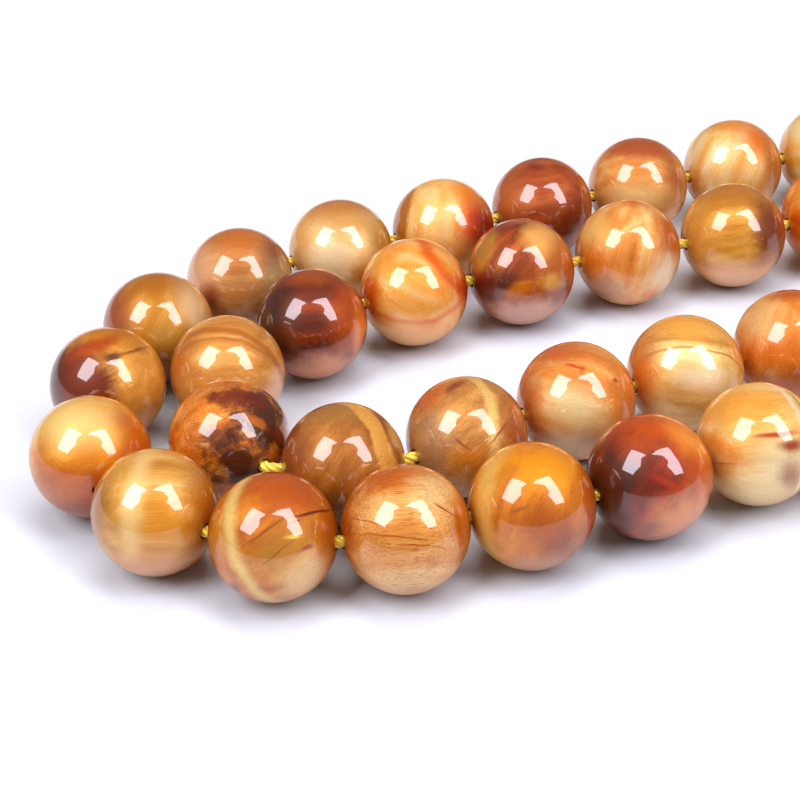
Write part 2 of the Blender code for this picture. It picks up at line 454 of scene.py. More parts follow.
def band(shade, first, middle, last, half, soft=0.6, share=0.85):
    """A flat band through three points of the surface, half its thickness given. A band darker than
    its bead is a layer of the stone, and a band paler than its bead is painted sheen, the bright
    stripe of light along the fibres.
    """
    a, b, c = facing(*first), facing(*middle), facing(*last)
    normal = np.cross(b - a, c - a)
    normal = normal / np.linalg.norm(normal)
    lean = (0.0, -math.asin(normal[2]), math.atan2(normal[1], normal[0]))
    return shade, b, lean, (half, BAND_ACROSS, BAND_ACROSS), soft, share


# %% [markdown]
# ## What the beads of the inner row show
# Each entry starts with the bead's number. Then come its three shades along the fibres, the
# direction of the fibres in degrees, how speckled it is, and its bands and patches.
#
# The marks were placed, and the colours first picked, one by one. A program then rewrote
# most of the colours: it scaled the red, green and blue of a whole bead, so that the mean colour
# of the bead in a render came near its mean colour in the photo. So most of these hex values
# come from a program and were not picked.

# %% The inner row
LOOKS = {
    4: (("#D35B2B", "#ED8037", "#F9BE64"), 20, 0.2, [
        patch("#F9B65B", -0.5, 0.4, 0.4, 0.3, 0, 0.8),
        patch("#C14B25", 0.6, -0.2, 0.4, 0.5, 0, 0.8)]),
    5: (("#B27533", "#D49A41", "#EEC670"), 10, 0.2, [
        patch("#E3B468", -0.8, 0.1, 0.35, 0.6, 0, 0.8),
        patch("#BD8745", 0.0, 0.8, 0.6, 0.25, 0, 0.8),
        patch("#7B382A", 0.72, 0.1, 0.35, 0.6, 10, 0.7, 0.95),
        # painted reflection of the white table, low on the bead
        patch("#F8D7C3", 0.0, -0.8, 0.6, 0.25, 0, 0.8)]),
    6: (("#D78749", "#F6B36B", "#F9E7B6"), 75, 0.3, [
        patch("#F6D590", -0.65, 0.35, 0.3, 0.4, 0, 0.8),
        patch("#BC653F", 0.82, 0.35, 0.25, 0.5, 0, 0.8),
        patch("#E78939", -0.7, -0.2, 0.3, 0.3, 0, 0.8),
        # painted reflection of the white table, low on the bead's right side
        patch("#F9F9F9", 0.75, -0.4, 0.3, 0.3, 0, 0.8),
        # painted reflection of the white table, low on the bead
        patch("#B48A78", -0.45, -0.7, 0.4, 0.25, 0, 0.8)]),
    7: (("#6A291D", "#A15029", "#D68B47"), 55, 0.4, [
        patch("#C4964A", -0.7, 0.35, 0.4, 0.16, 62, 0.5, 0.9),
        patch("#F9CC87", 0.38, 0.62, 0.35, 0.28, -30, 0.6, 0.9),
        patch("#CE8147", 0.75, 0.2, 0.25, 0.35, 0, 0.8),
        patch("#4A1E1F", -0.5, -0.3, 0.4, 0.3, 20, 0.6, 0.9),
        patch("#D68735", 0.0, -0.3, 0.3, 0.12, 20, 0.6),
        patch("#F5CA81", 0.55, -0.2, 0.2, 0.15, 0, 0.7),
        # painted reflection of the white table, low on the bead
        patch("#E0C0CA", 0.1, -0.8, 0.7, 0.25, 0, 0.6)]),
    8: (("#F2A04C", "#FFC470", "#FFE0AC"), -30, 0.2, [
        band("#EA672B", (0.3, 0.65), (0.6, 0.28), (0.88, 0.05), 0.08, 0.9),
        patch("#DE5126", -0.85, -0.05, 0.18, 0.35, 0, 0.8),
        band("#EB7A4C", (-0.6, -0.42), (0.0, -0.56), (0.6, -0.4), 0.05, 0.9, 0.7),
        # painted reflection of the white table, low on the bead
        patch("#FFD8B0", 0.0, -0.82, 0.6, 0.22, 0, 0.7),
        patch("#C53421", 0.95, 0.2, 0.12, 0.5, 0, 0.8)]),
    9: (("#4A190F", "#7A2D14", "#AB4C23"), 10, 0.4, [
        patch("#3B1C17", -0.75, 0.15, 0.42, 0.65, 0, 0.8, 0.92),
        patch("#C66028", 0.68, 0.1, 0.33, 0.6, 0, 0.8),
        patch("#AB5D2A", 0.0, 0.85, 0.4, 0.15, 0, 0.8),
        patch("#F99F52", 0.87, -0.15, 0.15, 0.3, 0, 0.8),
        # painted reflection of the white table, low on the bead
        patch("#F6B8A0", 0.2, -0.85, 0.6, 0.25, 0, 0.7)]),
    10: (("#C38847", "#E3AC63", "#F3CD95"), 5, 0.2, [
        band("#B87536", (-0.5, 0.7), (0.05, 0.72), (0.6, 0.45), 0.07, 0.7),
        band("#BB7E3F", (0.3, 0.5), (0.6, 0.35), (0.85, 0.1), 0.045, 0.7),
        band("#CB8D49", (-0.2, 0.5), (0.3, 0.42), (0.75, 0.15), 0.03, 0.7, 0.6),
        patch("#C37E44", -0.88, 0.2, 0.2, 0.5, 0, 0.8),
        # painted reflection of the white table, low on the bead
        patch("#EBC9C7", 0.8, -0.45, 0.25, 0.3, 0, 0.8)]),
    11: (("#C27034", "#EE9E4C", "#F9D088"), 18, 0.62, [
        patch("#7A2E14", -0.1, 0.05, 0.42, 0.22, 10, 0.8, 0.85),
        patch("#2A0E0B", 0.58, 0.3, 0.46, 0.5, -20, 0.4, 0.97),
        patch("#3A120B", 0.2, -0.42, 0.52, 0.42, -30, 0.4, 0.96),
        patch("#6A2412", 0.12, 0.68, 0.42, 0.18, -10, 0.6, 0.9),
        patch("#C4742C", 0.42, 0.32, 0.2, 0.06, -30, 0.6, 0.85),
        patch("#8B3C21", 0.85, 0.15, 0.1, 0.2, -20, 0.6),
        patch("#A8715A", 0.5, -0.3, 0.22, 0.1, 40, 0.8, 0.7),
        patch("#231B1A", 0.2, -0.62, 0.22, 0.12, 20, 0.6, 0.9)]),
    12: (("#945C2B", "#B67D3F", "#C9985D"), 60, 0.5, [
        patch("#9D5A35", -0.85, 0.2, 0.3, 0.6, 0, 0.8),
        patch("#AF8A53", 0.0, 0.85, 0.5, 0.2, 0, 0.8),
        # painted sheen: the bright stripe of light along the fibres
        band("#F0C272", (0.22, 0.9), (0.52, 0.5), (0.7, 0.05), 0.15, 0.25, 0.97),
        band("#875A29", (0.5, 0.85), (0.74, 0.45), (0.88, 0.1), 0.03, 0.5),
        patch("#E9CD8F", 0.9, 0.35, 0.1, 0.4, 20, 0.6)]),
    13: (("#A67E4D", "#CA995E", "#EFC07C"), 40, 0.5, [
        patch("#BC9E82", -0.6, -0.05, 0.35, 0.45, 0, 0.8),
        patch("#D97B44", -0.6, 0.66, 0.35, 0.14, 45, 0.7),
        # painted sheen: the bright stripe of light along the fibres
        band("#F9E5A5", (0.1, 0.95), (0.4, 0.5), (0.45, -0.1), 0.09, 0.7),
        patch("#974336", -0.18, 0.8, 0.16, 0.07, 20, 0.6, 0.9),
        patch("#B86541", 0.82, 0.15, 0.2, 0.5, 0, 0.8),
        patch("#E19E47", 0.05, -0.4, 0.3, 0.25, 0, 0.8),
        patch("#933E29", 0.52, 0.05, 0.28, 0.015, 50, 0.5, 0.8),
        patch("#933E29", -0.05, -0.1, 0.16, 0.02, -35, 0.6, 0.7)]),
    14: (("#D38648", "#F3AE65", "#F9E2B2"), -15, 0.3, [
        patch("#CE7346", -0.3, 0.82, 0.6, 0.2, 0, 0.8),
        patch("#C47046", -0.88, 0.1, 0.25, 0.6, 0, 0.8),
        # painted sheen: a bright glow of light from the fibres
        patch("#F9F9D5", 0.0, -0.15, 0.45, 0.3, -20, 0.9),
        patch("#C4472E", -0.02, 0.56, 0.15, 0.025, -15, 0.6, 0.8),
        patch("#C4472E", 0.1, 0.5, 0.05, 0.05, 0, 0.7, 0.7),
        patch("#A23B2A", 0.64, 0.32, 0.05, 0.035, -20, 0.6, 0.9),
        patch("#E08748", 0.85, -0.05, 0.2, 0.5, 0, 0.8),
        # painted reflection of the white table, low on the bead
        patch("#EADDD2", -0.1, -0.75, 0.5, 0.25, 0, 0.8)]),
    15: (("#D5A75A", "#F9D78D", "#F9F9D1"), -6, 0.2, [
        patch("#DE7F41", -0.78, 0.1, 0.3, 0.6, 0, 0.8),
        band("#D19F5E", (-0.6, 0.5), (0.0, 0.58), (0.8, 0.42), 0.035, 0.7, 0.8),
        band("#C29358", (-0.2, 0.42), (0.3, 0.42), (0.85, 0.18), 0.02, 0.7, 0.8),
        patch("#F9BE66", 0.0, 0.85, 0.7, 0.2, 0, 0.8),
        # painted sheen: a bright glow of light from the fibres
        patch("#F9F9F3", 0.35, -0.1, 0.4, 0.2, -8, 0.9),
        patch("#E39A60", 0.85, 0.4, 0.12, 0.3, 30, 0.8),
        patch("#E7BE8D", -0.3, -0.45, 0.35, 0.2, 10, 0.9, 0.6)]),
    16: (("#DB7A35", "#EDA15A", "#F9D597"), 82, 0.4, [
        patch("#F9DCAC", -0.6, 0.5, 0.35, 0.35, 0, 0.9),
        patch("#C9662A", 0.05, 0.92, 0.5, 0.12, 0, 0.8),
        patch("#EC8E42", 0.0, -0.15, 0.5, 0.2, 0, 0.8),
        patch("#AF5C2A", 0.1, -0.65, 0.6, 0.25, 0, 0.8)]),
}
print("inner row:", len(LOOKS), "looks")

# %% [markdown]
# ## What the beads of the outer row show
# This row runs round the outside of the bend, so it has the beads that are nearest to the
# camera, and they get the most marks.

# %% The outer row
LOOKS |= {
    23: (("#ECB360", "#F9D894", "#F9F5CD"), 2, 0.2, [
        patch("#F7BB60", -0.45, 0.62, 0.55, 0.35, 10, 0.8),
        patch("#EC9847", -0.55, -0.08, 0.4, 0.12, -30, 0.8, 0.7),
        # painted sheen: a bright glow of light from the fibres
        patch("#F9F9E4", 0.4, -0.3, 0.35, 0.4, 0, 0.9),
        patch("#97371A", 0.5, -0.03, 0.17, 0.1, 0, 0.7, 0.95),
        patch("#B2411C", 0.28, 0.15, 0.3, 0.045, 5, 0.7, 0.95),
        patch("#945038", 0.5, -0.55, 0.16, 0.28, 0, 0.8, 0.8),
        patch("#C15332", -0.55, -0.3, 0.18, 0.015, 0, 0.8, 0.7),
        # painted sheen: the bright stripe of light along the fibres
        band("#F9F9F9", (0.3, 0.9), (0.68, 0.3), (0.62, -0.68), 0.045, 0.6),
        band("#B79A57", (0.42, 0.88), (0.8, 0.3), (0.75, -0.6), 0.04, 0.7, 0.8),
        # painted reflection of the white table, low on the bead
        patch("#F9F6DF", 0.0, -0.85, 0.7, 0.2, 0, 0.8)]),
    24: (("#4C120A", "#862412", "#BC4822"), 47, 0.4, [
        patch("#D0622A", -0.1, 0.75, 0.7, 0.34, 15, 0.8, 0.92),
        patch("#F4A050", 0.62, 0.58, 0.5, 0.22, -45, 0.7, 0.95),
        patch("#FFC478", 0.72, 0.5, 0.22, 0.07, -45, 0.8, 0.8),
        patch("#B43A1C", 0.3, -0.1, 0.32, 0.06, -25, 0.7),
        patch("#D87038", 0.82, 0.0, 0.24, 0.45, 0, 0.8, 0.85),
        # painted reflection of the white table, low on the bead
        patch("#E8A888", 0.52, -0.62, 0.5, 0.34, 25, 0.8, 0.92),
        patch("#3A0E0E", -0.66, -0.2, 0.5, 0.75, -20, 0.7, 0.95)]),
    25: (("#B76C1F", "#E49420", "#F5B443"), 70, 0.4, [
        # painted sheen: the bright stripe of light along the fibres
        band("#F9DB88", (-0.5, 0.8), (-0.74, 0.1), (-0.6, -0.75), 0.18, 0.9, 0.9),
        patch("#F7B240", 0.2, 0.65, 0.55, 0.3, 0, 0.8),
        patch("#B75D12", 0.3, -0.35, 0.6, 0.35, 0, 0.8, 0.9),
        patch("#944A24", 0.55, -0.65, 0.5, 0.3, 30, 0.8, 0.85),
        patch("#C86317", 0.88, 0.1, 0.15, 0.6, 0, 0.8),
        patch("#8C4A1C", -0.15, -0.05, 0.14, 0.03, 20, 0.8, 0.6),
        # painted reflection of the white table, low on the bead
        patch("#C89B8C", 0.2, -0.87, 0.5, 0.14, 0, 0.8)]),
    26: (("#CC853F", "#E8AE65", "#F7D39D"), 3, 0.6, [
        patch("#C86A21", -0.2, 0.8, 0.6, 0.2, 10, 0.8, 0.9),
        patch("#BF5F14", 0.92, 0.15, 0.18, 0.5, 0, 0.8, 0.9),
        patch("#AF5D1F", -0.92, 0.0, 0.16, 0.55, 0, 0.8, 0.95),
        patch("#F9E1B5", 0.4, 0.62, 0.3, 0.2, -20, 0.9),
        patch("#B75210", -0.1, -0.12, 0.55, 0.014, -6, 0.7, 0.85),
        patch("#B75210", 0.3, -0.24, 0.36, 0.012, -3, 0.7, 0.8),
        patch("#AF4315", 0.62, 0.28, 0.2, 0.015, -30, 0.6, 0.9),
        patch("#AF4315", -0.55, 0.1, 0.2, 0.012, -15, 0.6, 0.8),
        # painted reflection of the white table, low on the bead
        patch("#F4DFB5", 0.0, -0.8, 0.6, 0.22, 0, 0.8)]),
    27: (("#AF6018", "#D58A34", "#E8B55E"), 35, 0.4, [
        patch("#C05D12", 0.2, 0.75, 0.75, 0.4, -10, 0.7, 0.92),
        patch("#C4924A", 0.1, -0.15, 0.5, 0.26, 33, 0.8, 0.85),
        # painted sheen: the bright stripe of light along the fibres
        band("#F9EEA9", (-0.5, 0.8), (-0.66, 0.1), (-0.3, -0.75), 0.11, 0.9, 0.85),
        # painted reflection of the white table, low on the bead
        patch("#F2DFB9", 0.5, -0.6, 0.4, 0.3, 35, 0.8),
        patch("#AF6322", 0.88, 0.1, 0.2, 0.5, 0, 0.8, 0.8),
        patch("#B77F24", -0.92, 0.1, 0.12, 0.5, 0, 0.8, 0.7),
        patch("#681912", 0.6, 0.36, 0.34, 0.02, 14, 0.5, 0.95),
        patch("#681912", 0.3, 0.2, 0.12, 0.012, 25, 0.5, 0.9),
        patch("#733F1D", -0.15, 0.08, 0.42, 0.012, 33, 0.5, 0.8),
        patch("#844B1D", 0.1, -0.2, 0.3, 0.01, 38, 0.5, 0.7),
        patch("#A1331D", 0.5, -0.16, 0.09, 0.035, 20, 0.7),
        patch("#F9ED80", 0.3, 0.0, 0.12, 0.03, 10, 0.7),
        patch("#6F4D6B", -0.58, -0.73, 0.1, 0.05, -30, 0.7)]),
    28: (("#C38F45", "#DEB161", "#F3D39A"), 0, 0.2, [
        patch("#C37935", 0.85, 0.1, 0.3, 0.8, 0, 0.8, 0.9),
        patch("#A97937", -0.92, 0.1, 0.2, 0.7, 0, 0.8, 0.9),
        patch("#E6A237", 0.15, -0.15, 0.35, 0.3, 0, 0.8),
        # painted sheen: the bright stripe of light along the fibres
        band("#F4DCA8", (-0.15, 0.9), (-0.36, 0.1), (-0.36, -0.7), 0.15, 0.9, 0.85),
        # painted reflection of the white table, low on the bead
        patch("#E4B39A", 0.1, -0.84, 0.7, 0.18, 0, 0.7)]),
    29: (("#D3781E", "#EC9C2D", "#F9C966"), 20, 0.2, [
        patch("#F9EBAD", -0.35, 0.6, 0.7, 0.42, 0, 0.9, 0.95),
        patch("#CB6716", 0.8, 0.1, 0.3, 0.7, 0, 0.9, 0.9),
        patch("#C25611", 0.15, -0.5, 0.7, 0.28, 0, 0.8, 0.9),
        patch("#BE6F44", -0.7, -0.5, 0.35, 0.35, -30, 0.8, 0.9),
        patch("#964127", -0.1, -0.87, 0.7, 0.2, 0, 0.8)]),
    30: (("#CC8E3C", "#E2AC5A", "#F0C478"), 30, 0.3, [
        patch("#C88824", 0.1, 0.85, 0.5, 0.15, 0, 0.8),
        patch("#74200F", -0.62, -0.12, 0.78, 0.85, 0, 0.3, 0.97),
        patch("#B84C1C", -0.2, 0.66, 0.45, 0.1, 25, 0.7, 0.9),
        patch("#461E28", 0.08, 0.48, 0.12, 0.06, 10, 0.7, 0.9),
        patch("#834625", 0.42, 0.57, 0.3, 0.025, 15, 0.7, 0.8),
        patch("#4A1410", -0.9, 0.2, 0.14, 0.5, 0, 0.8)]),
    31: (("#BC802E", "#CC9842", "#E4C07E"), 70, 0.1, [
        patch("#A6593E", -0.85, 0.1, 0.4, 0.8, 0, 0.8, 0.9),
        patch("#F3DCC2", 0.62, 0.35, 0.22, 0.6, 20, 0.9, 0.9),
        patch("#B3752C", -0.1, 0.8, 0.5, 0.25, 0, 0.8),
        patch("#CAA95A", 0.2, -0.2, 0.3, 0.3, 0, 0.8)]),
    32: (("#B87D4C", "#CA9865", "#DBB790"), 0, 0.1, [
        patch("#CA7A3D", 0.0, 0.75, 0.6, 0.3, 0, 0.9),
        # painted reflection of the white table, at the bead's side
        patch("#F1CCB6", -0.82, 0.15, 0.3, 0.55, 0, 0.8),
        patch("#864D46", 0.75, 0.55, 0.3, 0.4, -40, 0.8, 0.9),
        patch("#AEA484", 0.7, 0.05, 0.22, 0.3, 0, 0.8),
        patch("#974D3F", -0.55, -0.3, 0.14, 0.25, 0, 0.8)]),
    33: (("#D8AE70", "#F8DAA6", "#FFF0CC"), -20, 0.1, [
        patch("#C4864A", 0.0, 0.88, 0.85, 0.28, 0, 0.8, 0.9),
        patch("#D0A66C", 0.1, 0.5, 0.6, 0.2, 0, 0.9, 0.8),
        patch("#B88840", 0.85, 0.2, 0.25, 0.45, 0, 0.8),
        patch("#F6C684", -0.75, 0.15, 0.25, 0.4, 0, 0.8),
        # painted sheen: a bright glow of light from the fibres
        patch("#FFF6E0", -0.2, -0.15, 0.5, 0.28, 0, 0.9, 0.95),
        patch("#E0AA4C", 0.4, -0.45, 0.2, 0.15, 0, 0.8)]),
    34: (("#F6BC6C", "#FFDC9C", "#FFECC0"), 85, 0.1, [
        patch("#F6A242", 0.5, 0.72, 0.35, 0.25, -20, 0.8, 0.9),
        patch("#F2B068", 0.0, -0.5, 0.45, 0.25, 0, 0.9),
        patch("#D04018", 0.6, 0.12, 0.3, 0.45, 0, 0.8, 0.95),
        patch("#8E1C10", 0.86, 0.0, 0.26, 0.45, 0, 0.7, 0.97),
        patch("#C08234", -1.0, 0.3, 0.52, 1.3, 0, 0.1, 0.97)]),
    35: (("#8C3B1F", "#B15C35", "#CC7C4E"), 10, 0.1, [
        patch("#C2784B", -0.75, 0.2, 0.35, 0.6, 0, 0.9),
        patch("#762E19", 0.55, -0.3, 0.4, 0.5, 0, 0.9, 0.9),
        patch("#7A332A", -0.12, 0.78, 0.18, 0.08, 0, 0.8)]),
    36: (("#CD7C49", "#E7A865", "#F9DBA9"), 0, 0.1, [
        patch("#AF5C3F", 0.1, 0.8, 0.8, 0.28, 0, 0.8, 0.9),
        patch("#B36F46", 0.78, 0.25, 0.3, 0.5, 0, 0.8),
        # painted sheen: a bright glow of light from the fibres
        patch("#F9E7B0", 0.0, -0.25, 0.7, 0.25, 0, 0.9)]),
    37: (("#F1B566", "#F9DEA1", "#F9F9E7"), 70, 0.1, [
        patch("#E07834", 0.55, 0.6, 0.4, 0.35, -30, 0.9, 0.9),
        patch("#BC7234", 0.9, 0.0, 0.25, 0.6, 0, 0.8, 0.9),
        patch("#E89F5A", 0.0, 0.87, 0.4, 0.14, 0, 0.8),
        patch("#F19648", -0.9, -0.35, 0.2, 0.3, 0, 0.8)]),
    38: (("#ECB34D", "#F9D170", "#F9F9D9"), 10, 0.1, [
        # painted sheen: a bright glow of light from the fibres
        patch("#F9F9D9", -0.65, 0.5, 0.35, 0.3, 0, 0.9),
        patch("#ECB347", -0.85, -0.05, 0.2, 0.3, 0, 0.8)]),
}
print("both rows:", len(LOOKS), "looks")

# %% [markdown]
# ## The beads past the edge of the photo
# Eleven beads don't show. Each takes the look of a seen bead, turned and with other streaks, so
# that no two are alike.

# %% The beads that don't show
FIRST_TURN = 75.0
TURN_STEP = 40.0        # degrees from one bead to the next
UNSEEN = {1: 29, 2: 31, 3: 36, 17: 28, 18: 24, 19: 37, 20: 36, 21: 26, 22: 15, 39: 25, 40: 27}
for number, seen in UNSEEN.items():
    LOOKS[number] = LOOKS[seen]
print("all looks:", len(LOOKS))

# %% [markdown]
# ## The polished stone
# The finish is the same on all beads. The fine polish is a clear coat, almost mirror smooth and a
# little stronger than quartz alone gives, so lamps and table show sharp in it. Below it the
# fibres shine like silk: that is the partly metallic, half rough base, which brightens in its own
# colour where the light falls. The coat is faintly brown and warms what is seen through it, and
# a little light goes into the stone and comes out red.

# %% The polished stone
POLISH = {
    "IOR": 1.54,
    "Metallic": 0.28,
    "Roughness": 0.48,
    "Coat Weight": 1.0,
    "Coat IOR": 1.62,
    "Coat Tint": linear("#F2D8B4"),
    "Coat Roughness": 0.025,
    "Subsurface Weight": 0.12,
    "Subsurface Scale": 0.8 * MM,
    "Subsurface Radius": (1.0, 0.35, 0.1),
}
RICHER = 1.06           # colours a little fuller than written
STONE_LIGHT = 0.88      # and darker, because the silky shine adds light

# %% [markdown]
# ## Grain, layers and specks
# Four kinds of noise make the stone: thin streaks along the fibres, broad layers, a cloud that
# frays the marks of a speckled bead, and short dark veins. Lengths are shares of a bead's radius,
# and each noise has its own strength, which says how far it moves a shade or an edge.

# %% Grain, layers and specks
FIBRE_LONG = 2.2
FIBRE_WIDE = 0.03       # 0.15 mm
FIBRE_DETAIL = 2.0
FIBRE_SHOW = 0.07       # how much a streak moves the shade
FIBRE_RAGGED = 0.06     # how much it frays an edge
FIBRE_LIGHT = 0.06      # how much it lightens the stone
LAYER_LONG = 2.0 * FIBRE_LONG
LAYER_WIDE = 0.3
LAYER_DETAIL = 1.0
LAYER_SHOW = 0.25
GRAIN = 0.65            # how much the finer detail of streaks counts
SHADE_STOPS = (0.28, 0.5, 0.72)
WOBBLE = 0.05           # how far the grain bends out of line
WOBBLE_SCALE = 1.7
WOBBLE_DETAIL = 2.0
CLOUD_SCALE = 2.6
CLOUD_DETAIL = 4.0
CLOUD_GRAIN = 0.6
CLOUD_RAGGED = 1.8      # on a fully speckled bead, and less by the square of the specks
VEIN_LONG = 0.45
VEIN_WIDE = 0.016       # 0.08 mm
VEIN_DETAIL = 1.0
VEIN_LEVELS = (0.2, 0.45)        # noise below the first shows no vein
VEIN_SHARE = 1.5
SPECK_SCALE = 9.0       # specks about half a millimetre apart at the closest
SPECK_SIZES = (0.04, 0.14)       # full and faded out, as shares of that distance
SPECK_SHARE = 0.7
SPECK_PICK = 0.3        # share of all specks that a fully speckled bead keeps
SPECK_SHADE = "#8A3010"
# How far along the noise each next bead is cut, so that no two share a streak
WOBBLE_NEXT = 3.7
STREAK_NEXT = np.array([1.3, 0.0, 0.7])


def face_turn(centre):
    """The turn of a bead's face: x to the camera's right, y upwards, z towards the camera."""
    towards = unit(camera_place - centre)
    right = np.array(camera_turn.col[0])
    right = unit(right - (right @ towards) * towards)
    return Matrix(np.array([right, np.cross(towards, right), towards]).T)


def bead_face(tree, number, centre, turn):
    """The socket of the place on a bead's face, from -1 to 1, bent a little by slow noise."""
    place = add(tree, "ShaderNodeTexCoord").outputs["Object"]
    turned = (face_turn(centre) @ Matrix.Rotation(math.radians(turn), 3, "Z")).to_euler()
    lay = {"Vector": place, "Location": centre, "Rotation": turned, "Scale": (BEAD_R,) * 3}
    face = add(tree, "ShaderNodeMapping", lay, vector_type="TEXTURE").outputs[0]
    slow = {"Vector": face, "W": number * WOBBLE_NEXT,
            "Scale": WOBBLE_SCALE, "Detail": WOBBLE_DETAIL}
    bend = add(tree, "ShaderNodeTexNoise", slow, noise_dimensions="4D", normalize=False).outputs[1]
    shift = {0: bend, 1: (WOBBLE,) * 3, 2: face}
    return add(tree, "ShaderNodeVectorMath", shift, operation="MULTIPLY_ADD").outputs[0]


def noise(tree, place, scale, detail, grain):
    """The socket of noise from about minus a half to a half."""
    inputs = {"Vector": place, "Scale": scale, "Detail": detail, "Roughness": grain}
    return add(tree, "ShaderNodeTexNoise", inputs, normalize=False).outputs[0]


def streaks(tree, face, number, fibres, long, wide, detail):
    """The same noise, drawn out along the fibres to streaks of a length and a width."""
    lay = {"Vector": face, "Location": tuple(number * STREAK_NEXT),
           "Rotation": (0.0, 0.0, math.radians(fibres)), "Scale": (long, wide, wide)}
    lined = add(tree, "ShaderNodeMapping", lay, vector_type="TEXTURE").outputs[0]
    return noise(tree, lined, 1.0, detail, GRAIN)


def marked(tree, face, colour, ragged, marks):
    """The colour with each mark over it: full well inside, gone well outside its ellipsoid."""
    for shade, spot, lean, size, soft, share in marks:
        lay = {"Vector": face, "Location": spot, "Rotation": lean, "Scale": size}
        inside = add(tree, "ShaderNodeMapping", lay, vector_type="TEXTURE").outputs[0]
        far = add(tree, "ShaderNodeVectorMath", {0: inside}, operation="LENGTH").outputs["Value"]
        far = add(tree, "ShaderNodeMath", {0: far, 1: ragged}, operation="ADD").outputs[0]
        fade = {0: far, 1: 1.0 - soft, 2: 1.0 + soft, 3: share, 4: 0.0}
        fade = add(tree, "ShaderNodeMapRange", fade, interpolation_type="SMOOTHSTEP").outputs[0]
        colour = mixed(tree, fade, colour, shade)
    return colour


def veined(tree, colour, veins, specks):
    """The colour with thin dark veins where their noise is high, by the square of the specks."""
    low, high = VEIN_LEVELS
    show = {0: veins, 1: low, 2: high, 3: 0.0, 4: VEIN_SHARE * specks * specks}
    show = add(tree, "ShaderNodeMapRange", show).outputs[0]
    return mixed(tree, show, colour, SPECK_SHADE)


def speckled(tree, face, colour, specks):
    """The colour with round specks, at the middles of some of the cells of a random pattern."""
    cells = add(tree, "ShaderNodeTexVoronoi", {"Vector": face, "Scale": SPECK_SCALE})
    full, gone = SPECK_SIZES
    dots = {0: cells.outputs["Distance"], 1: full, 2: gone, 3: SPECK_SHARE, 4: 0.0}
    dots = add(tree, "ShaderNodeMapRange", dots).outputs[0]
    pick = {0: cells.outputs["Color"], 1: 1.0 - SPECK_PICK * specks}
    pick = add(tree, "ShaderNodeMath", pick, operation="GREATER_THAN").outputs[0]
    return mixed(tree, scaled(tree, dots, pick), colour, SPECK_SHADE)


# %% [markdown]
# ## One stone for each bead
# Each bead's tree is put together from the steps above: shades by layer and streak, the marks
# over them, then veins and specks, and last the fine light and dark of the fibres.

# %% One stone for each bead


def stone_material(number, centre, turn, look):
    """Tiger's eye of one bead: streaked along its fibres, then marked with bands and patches."""
    shades, fibres, specks, marks = look
    material, tree, shader = new_material(f"tigers_eye_{number:02d}", POLISH)
    face = bead_face(tree, number, centre, turn)
    grain = (tree, face, number, fibres)
    fine = streaks(*grain, FIBRE_LONG, FIBRE_WIDE, FIBRE_DETAIL)
    broad = streaks(*grain, LAYER_LONG, LAYER_WIDE, LAYER_DETAIL)
    veins = streaks(*grain, VEIN_LONG, VEIN_WIDE, VEIN_DETAIL)
    cloud = noise(tree, face, CLOUD_SCALE, CLOUD_DETAIL, CLOUD_GRAIN)
    level = scaled(tree, fine, FIBRE_SHOW, scaled(tree, broad, LAYER_SHOW, 0.5))
    ragged = scaled(tree, cloud, CLOUD_RAGGED * specks * specks, scaled(tree, fine, FIBRE_RAGGED))
    colour = shade_ramp(tree, level, SHADE_STOPS, shades)
    colour = marked(tree, face, colour, ragged, marks)
    colour = veined(tree, colour, veins, specks)
    colour = speckled(tree, face, colour, specks)
    bright = scaled(tree, fine, FIBRE_LIGHT, STONE_LIGHT)
    tone = {"Color": colour, "Saturation": RICHER, "Value": bright}
    lit = add(tree, "ShaderNodeHueSaturation", tone).outputs[0]
    tree.links.new(lit, shader.inputs["Base Color"])
    return material


for number, (name, centre) in enumerate(zip(bead_names, centres), start=1):
    turn = FIRST_TURN + TURN_STEP * number if number in UNSEEN else 0.0
    stone = stone_material(number, centre, turn, LOOKS[number])
    beads[name].data.materials.append(stone)
print("stones:", len(beads))

# %% [markdown]
# ## The golden silk
# The cord shines like polished silk or metallised thread: bright yellow where the light runs
# along its threads, deep ochre between the plies. Fine stripes on the cord's own UV map are the
# threads, each at random between deep ochre and bright yellow. The ochre is the silk's own
# colour, and the bright yellow is partly its colour and partly a painted glint. A small bump
# makes them catch the light one by one.

# %% The golden silk
SILK = {"Metallic": 0.15, "Roughness": 0.28, "Sheen Weight": 0.3, "Sheen Roughness": 0.4}
THREADS = 9.0           # threads round one ply, coarser than real ones so that they show
THREAD_WAVES = 1.5      # and how often a thread changes its shade in one lay length
THREAD_DETAIL = 2.0
THREAD_STOPS = (0.36, 0.6)
# ochre is the silk's own colour; the bright yellow is partly its colour and partly a painted glint
THREAD_SHADES = ("#DC9C10", "#FFE45A")
THREAD_HEIGHT = 0.04 * MM
THREAD_BUMP = 0.5

silk, tree, shader = new_material("golden_silk_cord", SILK)
threads = add(tree, "ShaderNodeUVMap", uv_map="threads").outputs[0]
spread = {"Vector": threads, "Scale": (THREADS, THREAD_WAVES, 1.0)}
spread = add(tree, "ShaderNodeMapping", spread).outputs[0]
strands = {"Vector": spread, "Scale": 1.0, "Detail": THREAD_DETAIL}
strands = add(tree, "ShaderNodeTexNoise", strands).outputs[0]
gold = shade_ramp(tree, strands, THREAD_STOPS, THREAD_SHADES)
tree.links.new(gold, shader.inputs["Base Color"])
bump = {"Height": strands, "Strength": THREAD_BUMP, "Distance": THREAD_HEIGHT}
bump = add(tree, "ShaderNodeBump", bump).outputs[0]
tree.links.new(bump, shader.inputs["Normal"])
cord.data.materials.append(silk)
knot.data.materials.append(silk)
print("threads round the cord:", round(PLIES * THREADS))

